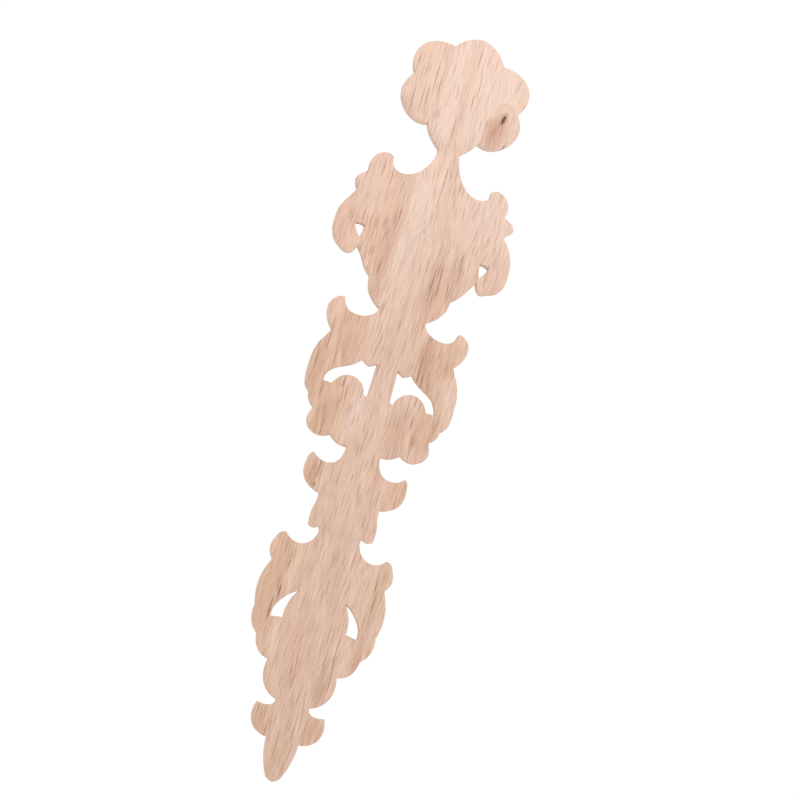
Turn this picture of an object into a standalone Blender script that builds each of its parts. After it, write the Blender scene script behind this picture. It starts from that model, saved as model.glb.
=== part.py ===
"""Carved wood applique, a long drop: a six-petal flower over acanthus leaves, a pair of scrolls,
two husks and a bud, sawn from one flat board, carved on the front and left flat at the back.

Frame: +Z up the drop with the flower at the top, the carved front to -Y, the flat back on Y = 0.
The origin is on the back, on the centre line, half way up."""
import math

import bpy
import bmesh
import numpy as np
from mathutils import Vector, kdtree
from mathutils.geometry import delaunay_2d_cdt

MM = 0.001

# driving sizes, in millimetres
HALF_LENGTH = 298.4
RIM = 5.0                # thickness left at the sawn edge
GROUND = 10.0            # thickness of the ground between the leaves
EDGE_ROUND = 7.6         # how fast the front rises from the rim
SOFTNESS = 0.8           # width of the blend where one leaf lies over another
FLOWER = (0.0, 249.0)    # centre of the flower
FLOWER_TURN = 2.7        # the flower sits a little turned, in degrees
BOW = 1.1                # how far both ends of the board have bent to one side
SCROLL_EYE = (25.0, -9.3)
SPACING = 1.3            # distance between the places where the carving is worked out
FIRST_ROW = 0.9          # distance from the sawn edge to the first row of them
FRONT_FACETS = 8340      # facets kept on the carved front

# right half of the sawn outline, top to bottom: one smooth run between each two sharp notches, each
# going on from the end of the one before
EDGE_RUNS = (
    # flower: top petal, upper and lower side petals, bottom petal
    ((0, HALF_LENGTH), (8, 296.2), (14.8, 292), (19.6, 286.6), (21.5, 284)),
    ((28, 284.3), (36, 282.6), (43.6, 278), (48.2, 271.2), (49.2, 264), (47.8, 257), (44.6, 251)),
    ((48.2, 245), (50.2, 237.5), (48.6, 229), (43.4, 221.4), (37, 216.6), (29, 214.4), (21.5, 215.8)),
    ((19, 210.9), (14.2, 205.2), (8.6, 200)),
    # neck and the hook of the big leaf
    ((9.4, 194.5), (12.6, 185.6), (18.6, 176.8), (25.5, 171.9), (32.5, 170.4), (37.8, 172), (40.8, 176),
     (41.4, 180.4)),
    ((43.6, 182), (47.4, 182.4), (52, 180.6), (55.8, 177), (57.9, 171), (57.2, 164)),
    # its second lobe, its long curled lobe and its foot
    ((61.2, 160.2), (64, 157.6), (65, 154.4), (63.6, 150.2), (61.6, 146.6)),
    ((65.2, 140.6), (70.2, 131), (71.8, 120), (71, 110.4), (68.2, 104.3), (63, 99.6), (56.8, 96.5),
     (52.6, 97), (50.4, 99.8), (48.8, 104)),
    ((45, 99), (40.2, 91.2), (33.2, 84.2)),
    ((32.4, 78), (29.2, 71.2), (24.6, 66.2), (18.6, 62.2)),
    # scroll: hook, long outer sweep and the leaflets under the curl
    ((21.2, 57.4), (27, 53.2), (34.5, 51.7), (41.2, 53), (45.2, 57), (46.9, 61.9)),
    ((50, 61.7), (54, 59.2), (56.8, 55), (57.2, 49.5), (55.4, 43), (49.7, 35.3)),
    ((51.4, 31.4), (55.8, 23.8), (58.5, 14), (59, 4), (58.8, -5), (57.2, -11.8), (53, -16.3)),
    ((52.2, -20), (50, -23.8), (46.2, -26.8)),
    ((48.1, -31), (48.6, -36), (46.5, -41.2), (42.3, -44.4), (36.5, -45.8), (28.2, -42.7)),
    ((24.3, -45.9), (20.5, -47.6), (13.5, -48)),
    # husk: hook and bell
    ((14.1, -54), (16.3, -58.9), (20.2, -62.3), (25.6, -63.8), (31.4, -62.6), (36.6, -58.9)),
    ((38.4, -60.6), (40, -67), (39.8, -74.6), (36.4, -81.2), (31, -85.2), (23.8, -87.5)),
    ((24, -93), (25.7, -102), (25.2, -112.1)),
    ((21.6, -113.4), (17.3, -111.5)),
    # lower leaf: hook, three outer lobes and the foot
    ((16, -114.4), (17.3, -119.4), (20.8, -124.3), (25.6, -127), (31.4, -127.4), (36.8, -125.1),
     (39.9, -122.2)),
    ((42.8, -123), (46, -127.8), (47.9, -135.4), (44.1, -144.3)),
    ((46.2, -149.5), (48.6, -157.5), (49.3, -167), (47, -179.7)),
    ((47.3, -186), (45.7, -192.5), (40, -199.3)),
    ((39.2, -203.5), (36.5, -209.3), (32.7, -212.9), (26.4, -215.1)),
    ((27.3, -222), (25.7, -230.3), (20.4, -237.5), (12.8, -241.4)),
    # end husk and bud
    ((13, -243.8), (15.4, -245.8), (19.4, -246.7), (25.6, -246)),
    ((27, -250), (27.3, -255.4), (25, -262.2), (19, -267.2), (12, -268.8)),
    ((11.7, -275.5), (10.1, -283), (7.3, -291), (4.2, -296.4), (0, -HALF_LENGTH)),
)

# the lobes of the big leaf that were cut otherwise on the left side, by their place in the list above
LEFT_SIDE_RUNS = {
    6: ((60.6, 162.3), (64.6, 159.9), (66.5, 155.4), (63, 150.8), (60.8, 147.3)),
    7: ((64.6, 143.4), (69, 136), (71.8, 127), (72.2, 118), (70.6, 108), (67, 103), (60.5, 99.9), (55, 98.1),
        (52, 100.2), (49.4, 105.7)),
}

# pierced openings in the right half, each a ring of smooth runs
OPENINGS = (
    # inside the curl of the big leaf
    (((47.9, 120.9), (52, 121.5), (56.2, 120)),
     ((56.2, 120), (53.5, 115), (49.9, 110.2)),
     ((49.9, 110.2), (48.3, 115.4), (47.9, 120.9))),
    # over the curl of the scroll
    (((8.2, 19.5), (13.9, 16.3)),
     ((13.9, 16.3), (17, 17.7), (20, 19.8)),
     ((20, 19.8), (24.6, 15.4), (30, 11.9), (35.8, 9), (41, 5.2), (44.3, 0.4), (45.4, -4.8)),
     ((45.4, -4.8), (38, -5)),
     ((38, -5), (35, 0.3), (30.4, 3.9), (25, 5), (19.4, 3.7), (14.9, 0), (12.8, -5)),
     ((12.8, -5), (11, -6.8), (8.8, -5.6)),
     ((8.8, -5.6), (8.2, 19.5))),
    # between the lower leaf and its outer lobes
    (((18, -161.3), (24.2, -165.2), (29.4, -170.7), (33.1, -176.8), (34, -184.4)),
     ((34, -184.4), (24.4, -183)),
     ((24.4, -183), (24, -175), (21.9, -167.6), (18, -161.3))),
)

# hollowed lobes of the right half: middle line from root to tip, half width, height at the root and
# at the tip, and the place of the widest part along it
LOBES = (
    # big leaf
    (((6, 188), (20, 166), (38, 162), (52, 168), (53, 178), (44, 182)), 8.5, 9.0, 12.8, 0.7),
    (((8, 176), (26, 156), (46, 152), (66, 154)), 8.0, 9.5, 13.2, 0.62),
    (((8, 164), (24, 144), (46, 136), (61, 127), (64, 111), (52, 101)), 10.5, 10.0, 14.0, 0.72),
    (((8, 150), (22, 130), (36, 120), (44, 112), (47, 100)), 9.0, 10.0, 12.4, 0.6),
    (((8, 130), (18, 110), (28, 96), (36, 84)), 9.0, 10.5, 12.6, 0.6),
    (((6, 104), (13, 90), (20, 76), (26, 63)), 9.5, 10.5, 13.0, 0.6),
    # hook of the scroll and the leaflets under its curl
    (((6, 56), (20, 44), (36, 40), (51, 44), (55, 54), (48, 63)), 8.5, 8.5, 12.6, 0.72),
    (((34, -12), (46, -19), (54, -23)), 6.0, 8.5, 11.0, 0.6),
    (((28, -18), (36, -30), (42, -45)), 8.5, 8.5, 11.8, 0.6),
    (((14, -20), (18, -34), (20, -50)), 7.0, 8.5, 11.8, 0.6),
    # husk
    (((4, -52), (14, -69), (27, -76), (38, -71), (38, -59)), 8.0, 9.0, 12.6, 0.72),
    (((6, -70), (14, -88), (20, -101), (22, -114)), 7.6, 9.5, 12.6, 0.6),
    # lower leaf
    (((5, -116), (16, -132), (32, -140), (44, -135), (42, -122)), 8.0, 9.0, 12.6, 0.72),
    (((8, -130), (24, -147), (38, -158), (43, -170), (43, -183)), 8.5, 9.5, 12.8, 0.7),
    (((36, -172), (38.5, -184), (42, -194), (43, -202)), 6.5, 9.0, 12.0, 0.6),
    (((10, -166), (20, -186), (28, -200), (33, -215)), 9.0, 9.5, 12.6, 0.6),
    (((6, -190), (13, -210), (18, -224), (20, -240)), 9.0, 10.0, 12.6, 0.6),
    # end husk
    (((3, -240), (11, -255), (21, -260), (27, -253), (24, -245)), 7.0, 9.0, 12.2, 0.72),
)

# leaves on the centre line: (top, bottom, half width, share of it at the root, height, number of veins)
CENTRE_LEAVES = (
    (62, -47, 8.6, 0.9, 11.3, 9),
    (-43, -112.5, 11.0, 0.6, 12.2, 7),
    (-109, -240, 14.0, 0.5, 12.4, 11),
    (-238, -300, 9.0, 0.7, 10.9, 6),
    (197, 50, 15.0, 0.42, 12.4, 13),
)

# round eyes inside the curled hooks: centre, radius
EYES = (
    ((47.6, 174.8), 4.6),
    ((50.6, 54.6), 4.3),
    ((33.8, -67.0), 4.1),
    ((40.0, -130.4), 4.2),
    ((21.4, -252.6), 3.2),
)


def smooth_run(points, step):
    """Points about a step apart on the smooth curve through the given ones."""
    knots = [np.array(point, float) for point in points]
    if len(knots) == 2:
        count = max(1, round(math.dist(*points) / step))
        return [tuple(knots[0] + (knots[1] - knots[0]) * i / count) for i in range(count + 1)]
    tangents = [None] * len(knots)
    for i in range(1, len(knots) - 1):
        before, after = knots[i] - knots[i - 1], knots[i + 1] - knots[i]
        short, long = np.linalg.norm(before), np.linalg.norm(after)
        tangent = before / short * long + after / long * short
        tangents[i] = tangent / np.linalg.norm(tangent)
    for end, inner in ((0, 1), (len(knots) - 1, len(knots) - 2)):
        chord = knots[inner] - knots[end]
        chord /= np.linalg.norm(chord)
        tangents[end] = 2 * np.dot(tangents[inner], chord) * chord - tangents[inner]
    curve = []
    for i in range(len(knots) - 1):
        span = np.linalg.norm(knots[i + 1] - knots[i])
        count = max(1, round(float(span) / step))
        for j in range(count):
            s = j / count
            point = ((2 * s**3 - 3 * s**2 + 1) * knots[i] + (s**3 - 2 * s**2 + s) * span * tangents[i]
                     + (3 * s**2 - 2 * s**3) * knots[i + 1] + (s**3 - s**2) * span * tangents[i + 1])
            curve.append(tuple(point))
    return curve + [tuple(knots[-1])]


def turned(x, z, angle):
    """Turns a place about the middle of the flower, fading out down the neck."""
    fade = np.clip((z - 196.0) / 14.0, 0.0, 1.0)
    a = np.radians(angle) * fade
    dx, dz = x - FLOWER[0], z - FLOWER[1]
    return FLOWER[0] + dx * np.cos(a) - dz * np.sin(a), FLOWER[1] + dx * np.sin(a) + dz * np.cos(a)


def bowed(z):
    """How far the board's centre line lies to the side."""
    return BOW * (0.4 - (z / HALF_LENGTH)**2)


def half_outline(changes, step):
    """One half of the sawn outline, with some of its runs changed."""
    half = smooth_run(EDGE_RUNS[0], step)
    for i, run in enumerate(EDGE_RUNS[1:], 1):
        half += smooth_run((half[-1],) + changes.get(i, run), step)[1:]
    return half


def edge_loops(step):
    """The sawn outline and the pierced openings as closed rings of (x, z)."""
    left_side = half_outline(LEFT_SIDE_RUNS, step)
    ring = half_outline({}, step) + [(-x, z) for x, z in reversed(left_side[1:-1])]
    rings = [[tuple(float(v) for v in turned(x, z, FLOWER_TURN)) for x, z in ring]]
    for opening in OPENINGS:
        ring = [point for run in opening for point in smooth_run(run, step)[:-1]]
        rings += [ring, [(-x, z) for x, z in ring]]
    return [[(x + bowed(z), z) for x, z in ring] for ring in rings]


def inside(ring, x, z):
    """True where a place is within the ring, by counting crossings."""
    crossings = np.zeros(x.shape, int)
    for (x0, z0), (x1, z1) in zip(ring, ring[1:] + ring[:1]):
        if z0 == z1:
            continue
        across = (z0 > z) != (z1 > z)
        crossings += across & (x < x0 + (z - z0) / (z1 - z0) * (x1 - x0))
    return crossings % 2 == 1


def along(x, z, line):
    """For each place, the share of the line's length at its nearest point and its distance."""
    line = np.array(line)
    start, run = line[:-1], np.diff(line, axis=0)
    length = np.hypot(run[:, 0], run[:, 1])
    before = np.concatenate([[0.0], np.cumsum(length)])
    best = np.full(x.shape, 1e9)
    share = np.zeros(x.shape)
    for i in range(len(run)):
        k = np.clip(((x - start[i, 0]) * run[i, 0] + (z - start[i, 1]) * run[i, 1]) / length[i]**2, 0, 1)
        gap = np.hypot(x - start[i, 0] - k * run[i, 0], z - start[i, 1] - k * run[i, 1])
        share = np.where(gap < best, (before[i] + k * length[i]) / before[-1], share)
        best = np.minimum(gap, best)
    return share, best


def rise(value, low, high):
    k = np.clip((value - low) / (high - low), 0, 1)
    return k * k * (3 - 2 * k)


def leaf_width(share, half_width, root, widest):
    """Half width along a leaf: it swells from the root to its widest part and ends round."""
    swell = half_width * (root + (1 - root) * np.sin(np.clip(share / widest, 0, 1) * math.pi / 2))
    tip = half_width * np.sqrt(1 - np.clip((share - widest) / (1 - widest), 0, 0.999)**2)
    return np.maximum(np.where(share < widest, swell, tip), 0.5)


def lobe(x, z, line, half_width, low, high, widest, root=0.45, crown=3.3, hollow=2.8):
    """A lobe hollowed like a spoon between two raised edges."""
    share, gap = along(x, z, line)
    width = leaf_width(share, half_width, root, widest)
    across = gap / width
    level = low + (high - low) * np.sin(share * math.pi / 2)
    fullness = np.minimum(1, width / (0.55 * half_width))
    height = level + crown * fullness * (1 - across**2.4)
    height -= hollow * fullness**2 * rise(share, 0.06, 0.4) * np.clip(1 - (across / 0.68)**2, 0, 1)**1.5
    return np.where(across > 1, level - 2.2 * (gap - width), height)


def centre_leaf(x, z, top, bottom, half_width, root, level, veins):
    """A leaf down the centre line with a midrib and slanted veins."""
    share = np.clip((top - z) / (top - bottom), 0, 1)
    beyond = np.maximum(np.maximum(z - top, bottom - z), 0)
    gap = np.hypot(x, beyond)
    width = leaf_width(share, half_width, root, 0.55)
    across = gap / width
    height = level + 1.2 * np.sin(share * math.pi) + 3.6 * (1 - across**2.2)
    slant = share * veins - 0.9 * veins * np.abs(x) / (top - bottom)
    height -= 1.2 * (0.5 - 0.5 * np.cos(2 * math.pi * slant)) * rise(across, 0.25, 0.5)
    height += 1.2 * np.exp(-(x / 2.1)**2) - 0.9 * np.exp(-((np.abs(x) - 4.2) / 1.2)**2)
    return np.where(across > 1, level - 2.4 * (gap - width), height)


def bead(x, z, centre, radius, low, high):
    """A round boss, from low at its foot to high at its top."""
    gap = np.hypot(x - centre[0], z - centre[1]) / radius
    return np.where(gap < 1, low + (high - low) * np.sqrt(np.clip(1 - gap**2, 0, 1)), 0.0)


def scroll_line():
    """Middle of the scroll's band: down the outer sweep, under the curl and round it to the eye."""
    line = smooth_run(((10, 46), (26, 33), (42, 25), (51.5, 11), (51.5, -6), (43.5, -19.5)), 2.5)
    for i in range(29):
        turn = i / 28
        radius = 18.6 * (5.2 / 18.6)**turn
        angle = math.radians(-52 - 400 * turn)
        line.append((SCROLL_EYE[0] + radius * math.cos(angle), SCROLL_EYE[1] + radius * math.sin(angle)))
    return line


def scroll(x, z):
    """The scroll's band: a groove between two ridges, narrowing into the curl, and its eye."""
    share, gap = along(x, z, scroll_line())
    width = 3.6 + 4.8 * np.sin(np.clip(share / 0.36, 0, 1) * math.pi / 2) - 5.6 * rise(share, 0.36, 1.0)
    across = gap / width
    level = 10.0 + 4.2 * rise(share, 0.0, 0.7)
    height = level + 2.6 * (1 - across**4) - 1.8 * np.clip(1 - (across / 0.6)**2, 0, 1)**1.5
    band = np.where(across > 1, level - 2.4 * (gap - width), height)
    return np.maximum(band, bead(x, z, SCROLL_EYE, 4.2, 12.0, 18.0))


def flower(x, z):
    """Six cupped petals, six small ones over them and a seed head of beads."""
    x, z = turned(x, z, -FLOWER_TURN)
    dx, dz = x - FLOWER[0], z - FLOWER[1]
    radius = np.hypot(dx, dz)
    bearing = np.degrees(np.arctan2(dz, dx))
    height = np.zeros(x.shape)
    for middle, spread, reach in ((90, 32, 49), (30.5, 28.5, 53), (-28, 31, 54), (-90, 32, 48),
                                  (149.5, 28.5, 53), (208, 31, 54)):
        off = (bearing - middle + 180) % 360 - 180
        share = np.clip(np.abs(off) / spread, 0, 1)
        out = radius / reach
        petal = 9.5 + 3.2 * rise(out, 0.45, 0.86) - 1.6 * rise(out, 0.9, 1.0) + 1.6 * (1 - share**2)
        petal -= 3.4 * np.exp(-((1 - share) * radius * math.radians(spread) / 2.0)**2)
        flute = 0.5 + 0.5 * np.cos(off / spread * 3 * math.pi)
        petal -= 0.8 * flute * rise(out, 0.3, 0.5) * (1 - rise(out, 0.86, 0.97))
        height = np.where(np.abs(off) <= spread, np.maximum(height, petal), height)
    for i in range(6):
        angle = math.radians(60 * i)
        middle = [(FLOWER[0] + r * math.cos(angle), FLOWER[1] + r * math.sin(angle)) for r in (4, 14, 27)]
        height = np.maximum(height, lobe(x, z, middle, 9.0, 13.2, 14.4, 0.5, 0.6, 2.2, 1.8))
    height = np.maximum(height, bead(x, z, FLOWER, 10.5, 13.0, 18.0))
    height = np.maximum(height, bead(x, z, FLOWER, 3.4, 17.0, 20.0))
    for i in range(8):
        angle = math.radians(45 * i + 22.5)
        seed = (FLOWER[0] + 6.8 * math.cos(angle), FLOWER[1] + 6.8 * math.sin(angle))
        height = np.maximum(height, bead(x, z, seed, 2.3, 15.8, 18.3))
    return height


def laid_over(under, over):
    """One form over another, with a short soft step where they meet."""
    k = np.clip(0.5 + 0.5 * (over - under) / SOFTNESS, 0, 1)
    return under * (1 - k) + over * k + SOFTNESS * k * (1 - k)


def front_height(x, z, to_edge):
    """Thickness of the board at each place, in mm, given its distance to the nearest sawn edge."""
    x = x - bowed(z)
    side = np.abs(x)
    height = RIM + (GROUND - RIM) * (1 - np.exp(-to_edge / 4.0))
    for line, half_width, low, high, widest in LOBES:
        curve = smooth_run(line, 3.0)
        reach = half_width + 3
        near = ((side > min(p[0] for p in curve) - reach) & (side < max(p[0] for p in curve) + reach)
                & (z > min(p[1] for p in curve) - reach) & (z < max(p[1] for p in curve) + reach))
        leaf = lobe(side[near], z[near], curve, half_width, low, high, widest)
        height[near] = laid_over(height[near], leaf)
    near = (z < 62) & (z > -42)
    height[near] = laid_over(height[near], scroll(side[near], z[near]))
    for centre, radius in EYES:
        height = laid_over(height, bead(side, z, centre, radius, 10.0, 16.2))
    near = z > 190
    height[near] = laid_over(height[near], flower(x[near], z[near]))
    for top, bottom, half_width, root, level, veins in CENTRE_LEAVES:
        near = (side < half_width + 5) & (z < top + 5) & (z > bottom - 5)
        leaf = centre_leaf(x[near], z[near], top, bottom, half_width, root, level, veins)
        height[near] = laid_over(height[near], leaf)
    # the sawn edges are rounded over to the rim
    edge = RIM + np.sqrt(2 * EDGE_ROUND * to_edge)
    k = np.clip(0.5 + 0.5 * (edge - height) / 1.2, 0, 1)
    return edge * (1 - k) + height * k - 1.2 * k * (1 - k)


def grid_places(rings, edge_tree):
    """A row of places just inside the edges, then a triangular grid over the rest of the board."""
    candidates = []
    for ring in rings:
        loop = np.array(ring)
        run = np.roll(loop, -1, axis=0) - np.roll(loop, 1, axis=0)
        run /= np.maximum(np.linalg.norm(run, axis=1), 1e-9)[:, None]
        for side in (FIRST_ROW, -FIRST_ROW):
            candidates += [tuple(p) for p in loop + side * np.stack([-run[:, 1], run[:, 0]], axis=1)]
    row_gap = SPACING * math.sqrt(3) / 2
    for row in range(int(2 * HALF_LENGTH / row_gap)):
        shift = (row % 2) * SPACING / 2
        candidates += [(x + shift, HALF_LENGTH - row * row_gap) for x in np.arange(-75.0, 75.0, SPACING)]
    xs, zs = np.array(candidates).T
    within = inside(rings[0], xs, zs)
    for ring in rings[1:]:
        within &= ~inside(ring, xs, zs)
    taken = {}
    places = []
    for x, z, usable in zip(xs.tolist(), zs.tolist(), within.tolist()):
        if not usable or edge_tree.find((x, z, 0))[2] < 0.8 * FIRST_ROW:
            continue
        cell = (round(x / SPACING), round(z / SPACING))
        close = [q for i in (-1, 0, 1) for j in (-1, 0, 1) for q in taken.get((cell[0] + i, cell[1] + j), ())]
        if all(math.hypot(x - q[0], z - q[1]) > SPACING * 0.7 for q in close):
            taken.setdefault(cell, []).append((x, z))
            places.append((x, z))
    return places


def front_surface(name):
    """The carved front as an open surface, its rim lifted RIM off the back."""
    rings = edge_loops(SPACING)
    dense = [point for ring in edge_loops(0.3) for point in ring]
    edge_tree = kdtree.KDTree(len(dense))
    for i, (x, z) in enumerate(dense):
        edge_tree.insert((x, z, 0), i)
    edge_tree.balance()
    points = [Vector(p) for ring in rings for p in ring]
    edges = []
    for ring in rings:
        first = len(edges)
        edges += [(first + i, first + (i + 1) % len(ring)) for i in range(len(ring))]
    rim = len(points)
    points += [Vector(p) for p in grid_places(rings, edge_tree)]
    flat, _, triangles, origins, _, _ = delaunay_2d_cdt(points, edges, [], 1, 1e-5)
    flat = np.array([tuple(v) for v in flat])
    triangles = np.array(triangles)
    middle = flat[triangles].mean(axis=1)
    kept = inside(rings[0], middle[:, 0], middle[:, 1])
    for ring in rings[1:]:
        kept &= ~inside(ring, middle[:, 0], middle[:, 1])
    to_edge = np.array([0.0 if min(came) < rim else edge_tree.find((x, z, 0))[2]
                        for (x, z), came in zip(flat, origins)])
    height = front_height(flat[:, 0], flat[:, 1], to_edge)
    mesh = bpy.data.meshes.new(name)
    mesh.from_pydata([(x * MM, -h * MM, z * MM) for (x, z), h in zip(flat, height)], [],
                     triangles[kept].tolist())
    return mesh


def carved_board(name, material):
    """The closed solid: carved front, sawn edges and a flat back."""
    surface = bpy.data.objects.new(name, front_surface(name))
    collection.objects.link(surface)
    # the fine surface is thinned to broad facets that keep its ridges and hollows
    thin = surface.modifiers.new("facets", "DECIMATE")
    thin.ratio = FRONT_FACETS / len(surface.data.polygons)
    bpy.context.view_layer.update()
    thinned = bpy.data.meshes.new_from_object(surface.evaluated_get(bpy.context.evaluated_depsgraph_get()))
    surface.modifiers.clear()
    work = bmesh.new()
    work.from_mesh(thinned)
    bmesh.ops.delete(work, geom=[v for v in work.verts if not v.link_faces], context="VERTS")
    for vert in work.verts:
        if vert.is_boundary:
            vert.co.y = -RIM * MM
    rim = [edge for edge in work.edges if edge.is_boundary]
    pulled = bmesh.ops.extrude_edge_only(work, edges=rim)["geom"]
    for item in pulled:
        if isinstance(item, bmesh.types.BMVert):
            item.co.y = 0.0
    back = [item for item in pulled if isinstance(item, bmesh.types.BMEdge) and item.is_boundary]
    bmesh.ops.triangle_fill(work, use_beauty=True, edges=back, normal=(0, 1, 0))
    bmesh.ops.recalc_face_normals(work, faces=work.faces)
    work.to_mesh(surface.data)
    work.free()
    bpy.data.meshes.remove(thinned)
    surface.data.materials.append(material)
    surface.data.shade_smooth()
    surface.data.set_sharp_from_angle(angle=math.radians(50))
    return surface


for obj in list(bpy.data.objects):
    bpy.data.objects.remove(obj, do_unlink=True)

rubberwood = bpy.data.materials.new("rubberwood")
rubberwood.use_nodes = True
shader = rubberwood.node_tree.nodes["Principled BSDF"]
shader.inputs["Base Color"].default_value = (0.75, 0.54, 0.42, 1.0)
shader.inputs["Roughness"].default_value = 0.62
shader.inputs["Metallic"].default_value = 0.0

collection = bpy.data.collections.new("carved_wood_applique")
bpy.context.scene.collection.children.link(collection)
carved_board("carved_applique", rubberwood)
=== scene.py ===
import math

import bmesh
import bpy
import numpy as np
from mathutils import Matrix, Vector, kdtree
from mathutils.geometry import delaunay_2d_cdt


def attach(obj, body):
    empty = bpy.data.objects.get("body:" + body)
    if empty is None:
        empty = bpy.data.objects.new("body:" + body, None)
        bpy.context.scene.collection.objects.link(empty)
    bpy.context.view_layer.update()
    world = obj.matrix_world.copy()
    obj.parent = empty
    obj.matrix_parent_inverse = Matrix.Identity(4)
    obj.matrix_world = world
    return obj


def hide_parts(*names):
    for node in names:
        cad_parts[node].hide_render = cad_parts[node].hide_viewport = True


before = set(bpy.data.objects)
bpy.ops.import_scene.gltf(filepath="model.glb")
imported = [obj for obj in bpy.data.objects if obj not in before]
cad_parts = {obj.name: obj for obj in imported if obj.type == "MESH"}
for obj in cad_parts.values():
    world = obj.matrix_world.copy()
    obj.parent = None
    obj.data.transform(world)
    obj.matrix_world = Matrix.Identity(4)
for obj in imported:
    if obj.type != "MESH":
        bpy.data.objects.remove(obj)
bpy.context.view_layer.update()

# The carved drop: one board of jointed rubberwood, sawn to its outline and pierced with a scroll saw, then
# carved on the front with gouges. It is a single piece from the flower to the bud, and its flat back is
# glued to a door or a panel. Sizes here are in mm.
MM = 0.001               # one millimetre, in metres
HALF_LENGTH = 298.4
RIM = 5.0                # thickness left at the sawn edge
GROUND = 10.0            # thickness of the ground between the leaves
GROUND_RISE = 4.0        # how far in from the sawn edge the ground comes up to it
EDGE_ROUND = 7.6         # how fast the front rises from the rim
EDGE_BLEND = 1.2         # width of the blend between that rounding and the carving
SOFTNESS = 0.6           # width of the blend where one leaf lies over another
FLOWER = (0.0, 249.0)    # centre of the flower
FLOWER_TURN = 2.7        # the flower sits a little turned, in degrees
FLOWER_FOOT = 190        # nothing of the flower's carving lies below this
NECK_FOOT = 196.0        # the turn has faded out here
NECK_FADE = 14.0         # length of neck over which it fades
BOW = 1.1                # how far both ends of the board have bent to one side of its middle
BOW_MIDDLE = 0.4         # share of that by which the middle lies off the centre line
SPACING = 0.85           # distance between the places where the carving is worked out
FIRST_ROW = 0.55         # distance from the sawn edge to the first row of them
HALF_SHEET = 75.0        # half width of the sheet of places that is laid over the board
EDGE_STEP = 0.2          # distance between the points from which the way to the edge is measured
LINE_STEP = 3.0          # distance between the points on the middle line of a lobe
BROKEN_EDGE = 0.35       # the back's sharp corner, rubbed down with sandpaper
SHARP_ANGLE = 48         # faces that meet at more than this many degrees meet at a crisp edge

# right half of the sawn outline, top to bottom: one smooth run between each two sharp notches, each
# going on from the end of the one before
EDGE_RUNS = (
    # flower: top petal, upper and lower side petals, bottom petal
    ((0, HALF_LENGTH), (8, 296.2), (14.8, 292), (19.6, 286.6), (21.5, 284)),
    ((28, 284.3), (36, 282.6), (43.6, 278), (48.2, 271.2), (49.2, 264), (47.8, 257), (44.6, 251)),
    ((48.2, 245), (50.2, 237.5), (48.6, 229), (43.4, 221.4), (37, 216.6), (29, 214.4), (21.5, 215.8)),
    ((19, 210.9), (14.2, 205.2), (8.6, 200)),
    # neck and the hook of the big leaf
    ((9.4, 194.5), (12.6, 185.6), (18.6, 176.8), (25.5, 171.9), (32.5, 170.4), (37.8, 172), (40.8, 176),
     (41.4, 180.4)),
    ((43.6, 182), (47.4, 182.4), (52, 180.6), (55.8, 177), (57.9, 171), (57.2, 164)),
    # its second lobe, its long curled lobe and its foot
    ((61.2, 160.2), (64, 157.6), (65, 154.4), (63.6, 150.2), (61.6, 146.6)),
    ((65.2, 140.6), (70.2, 131), (71.8, 120), (71, 110.4), (68.2, 104.3), (63, 99.6), (56.8, 96.5),
     (52.6, 97), (50.4, 99.8), (48.8, 104)),
    ((45, 99), (40.2, 91.2), (33.2, 84.2)),
    ((32.4, 78), (29.2, 71.2), (24.6, 66.2), (18.6, 62.2)),
    # scroll: hook, long outer sweep and the leaflets under the curl
    ((21.2, 57.4), (27, 53.2), (34.5, 51.7), (41.2, 53), (45.2, 57), (46.9, 61.9)),
    ((50, 61.7), (54, 59.2), (56.8, 55), (57.2, 49.5), (55.4, 43), (49.7, 35.3)),
    ((51.4, 31.4), (55.8, 23.8), (58.5, 14), (59, 4), (58.8, -5), (57.2, -11.8), (53, -16.3)),
    ((52.2, -20), (50, -23.8), (46.2, -26.8)),
    ((48.1, -31), (48.6, -36), (46.5, -41.2), (42.3, -44.4), (36.5, -45.8), (28.2, -42.7)),
    ((24.3, -45.9), (20.5, -47.6), (13.5, -48)),
    # husk: hook and bell
    ((14.1, -54), (16.3, -58.9), (20.2, -62.3), (25.6, -63.8), (31.4, -62.6), (36.6, -58.9)),
    ((38.4, -60.6), (40, -67), (39.8, -74.6), (36.4, -81.2), (31, -85.2), (23.8, -87.5)),
    ((24, -93), (25.7, -102), (25.2, -112.1)),
    ((21.6, -113.4), (17.3, -111.5)),
    # lower leaf: hook, three outer lobes and the foot
    ((16, -114.4), (17.3, -119.4), (20.8, -124.3), (25.6, -127), (31.4, -127.4), (36.8, -125.1),
     (39.9, -122.2)),
    ((42.8, -123), (46, -127.8), (47.9, -135.4), (44.1, -144.3)),
    ((46.2, -149.5), (48.6, -157.5), (49.3, -167), (47, -179.7)),
    ((47.3, -186), (45.7, -192.5), (40, -199.3)),
    ((39.2, -203.5), (36.5, -209.3), (32.7, -212.9), (26.4, -215.1)),
    ((27.3, -222), (25.7, -230.3), (20.4, -237.5), (12.8, -241.4)),
    # end husk and bud
    ((13, -243.8), (15.4, -245.8), (19.4, -246.7), (25.6, -246)),
    ((27, -250), (27.3, -255.4), (25, -262.2), (19, -267.2), (12, -268.8)),
    ((11.7, -275.5), (10.1, -283), (7.3, -291), (4.2, -296.4), (0, -HALF_LENGTH)),
)

# the lobes of the big leaf that were cut otherwise on the left side, by their place in the list above
LEFT_SIDE_RUNS = {
    6: ((60.6, 162.3), (64.6, 159.9), (66.5, 155.4), (63, 150.8), (60.8, 147.3)),
    7: ((64.6, 143.4), (69, 136), (71.8, 127), (72.2, 118), (70.6, 108), (67, 103), (60.5, 99.9), (55, 98.1),
        (52, 100.2), (49.4, 105.7)),
}

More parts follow.
